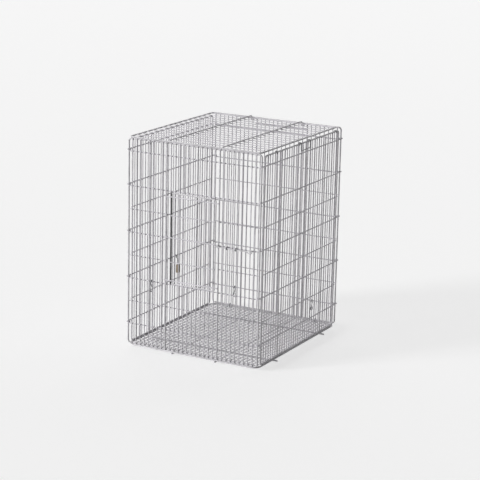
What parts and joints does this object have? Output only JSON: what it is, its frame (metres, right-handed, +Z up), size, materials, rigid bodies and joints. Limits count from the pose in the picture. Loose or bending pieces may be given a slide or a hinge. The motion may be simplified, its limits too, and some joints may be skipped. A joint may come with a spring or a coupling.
{
  "type": "rabbit cage",
  "caption": "Folding welded-wire rabbit cage with a mesh floor, hooked lid, hinged front door, slide bolt, swinging bail, hanging hooks and a wooden chew block.",
  "frame": {"origin": "middle of the bounding box, at the underside of the two floor bars that the cage stands on", "axes": "+Z up, the front wall with the door faces -Y, +X to the right seen from the front"},
  "size_m": [0.3916, 0.4564, 0.559],
  "materials": {
    "heavy_wire": "zinc-plated drawn wire, dull",
    "mesh_wire": "zinc-plated drawn wire, dull",
    "formed_wire": "zinc-plated bent wire, dull",
    "dark_wire": "blackened drawn wire, dull",
    "wood": "bare softwood"
  },
  "bodies": {
    "base": {"floor_frame": "heavy_wire", "floor_width_wires": "mesh_wire", "floor_depth_wires": "mesh_wire", "floor_long_bars": "heavy_wire", "floor_cross_bars": "heavy_wire", "floor_clips": "formed_wire", "back_frame": "heavy_wire", "back_uprights": "mesh_wire", "back_rails": "mesh_wire", "back_thin_rails": "mesh_wire", "back_stays": "heavy_wire", "back_tie": "mesh_wire"},
    "left_wall": {"left_frame": "heavy_wire", "left_uprights": "mesh_wire", "left_rails": "mesh_wire", "left_thin_rails": "mesh_wire", "left_stays": "heavy_wire"},
    "right_wall": {"right_frame": "heavy_wire", "right_uprights": "mesh_wire", "right_rails": "mesh_wire", "right_thin_rails": "mesh_wire", "right_stays": "heavy_wire", "right_top_rings": "formed_wire"},
    "front_wall": {"front_frame": "heavy_wire", "front_uprights": "mesh_wire", "front_bay_uprights": "mesh_wire", "front_rails": "mesh_wire", "front_thin_rails": "mesh_wire", "door_hinge_stay": "heavy_wire", "door_latch_stay": "heavy_wire", "bolt_guides": "formed_wire"},
    "door": {"door_frame": "heavy_wire", "door_stile": "dark_wire", "door_uprights": "mesh_wire", "door_rails": "mesh_wire", "door_thin_rails": "mesh_wire"},
    "bolt": {"slide_bolt": "heavy_wire"},
    "roof": {"roof_frame": "heavy_wire", "roof_wires": "mesh_wire", "roof_rods": "heavy_wire"},
    "bail": {"top_bail": "formed_wire"},
    "chew_toy": {"chew_block": "wood", "chew_block_hook": "formed_wire"},
    "front_hook": {"front_s_hook": "formed_wire"},
    "back_right_hook": {"back_right_s_hook": "formed_wire"},
    "back_left_hook": {"back_left_s_hook": "formed_wire"}
  },
  "joints": [
    {"name": "left_fold", "type": "hinge", "parent": "base", "child": "left_wall", "pos_m": [-0.18755, 0.22198, 0.28], "axis": [0, 0, 1], "range_deg": [0, 75]},
    {"name": "right_fold", "type": "hinge", "parent": "base", "child": "right_wall", "pos_m": [0.19045, 0.22198, 0.28], "axis": [0, 0, 1], "range_deg": [0, 75]},
    {"name": "front_fold", "type": "hinge", "parent": "left_wall", "child": "front_wall", "pos_m": [-0.18755, -0.21602, 0.28], "axis": [0, 0, 1], "range_deg": [-75, 0]},
    {"name": "door_swing", "type": "hinge", "parent": "front_wall", "child": "door", "pos_m": [-0.07415, -0.22002, 0.30703], "axis": [0, 0, -1], "range_deg": [0, 110]},
    {"name": "bolt_slide", "type": "slide", "parent": "front_wall", "child": "bolt", "axis": [-1, 0, 0], "range_m": [0, 0.016]},
    {"name": "roof_lift", "type": "hinge", "parent": "base", "child": "roof", "pos_m": [0.00145, 0.22198, 0.5497], "axis": [-1, 0, 0], "range_deg": [0, 150]},
    {"name": "bail_swing", "type": "hinge", "parent": "right_wall", "child": "bail", "pos_m": [0.19085, 0.00937, 0.5447], "axis": [0, -1, 0], "range_deg": [0, 150]},
    {"name": "chew_swing", "type": "hinge", "parent": "left_wall", "child": "chew_toy", "pos_m": [-0.19145, 0.02202, 0.19067], "axis": [0, -1, 0], "range_deg": [0, 25]},
    {"name": "front_hook_swing", "type": "hinge", "parent": "front_wall", "child": "front_hook", "pos_m": [-0.11825, -0.21652, 0.18737], "axis": [1, 0, 0], "range_deg": [-25, 25]},
    {"name": "back_right_hook_swing", "type": "hinge", "parent": "base", "child": "back_right_hook", "pos_m": [0.12115, 0.22248, 0.0667], "axis": [1, 0, 0], "range_deg": [-25, 25]},
    {"name": "back_left_hook_swing", "type": "hinge", "parent": "base", "child": "back_left_hook", "pos_m": [-0.11825, 0.22248, 0.0667], "axis": [1, 0, 0], "range_deg": [-25, 25]}
  ],
  "couplings": [
    {"joint": "right_fold", "follows": "left_fold", "ratio": 1},
    {"joint": "front_fold", "follows": "left_fold", "ratio": -1}
  ]
}
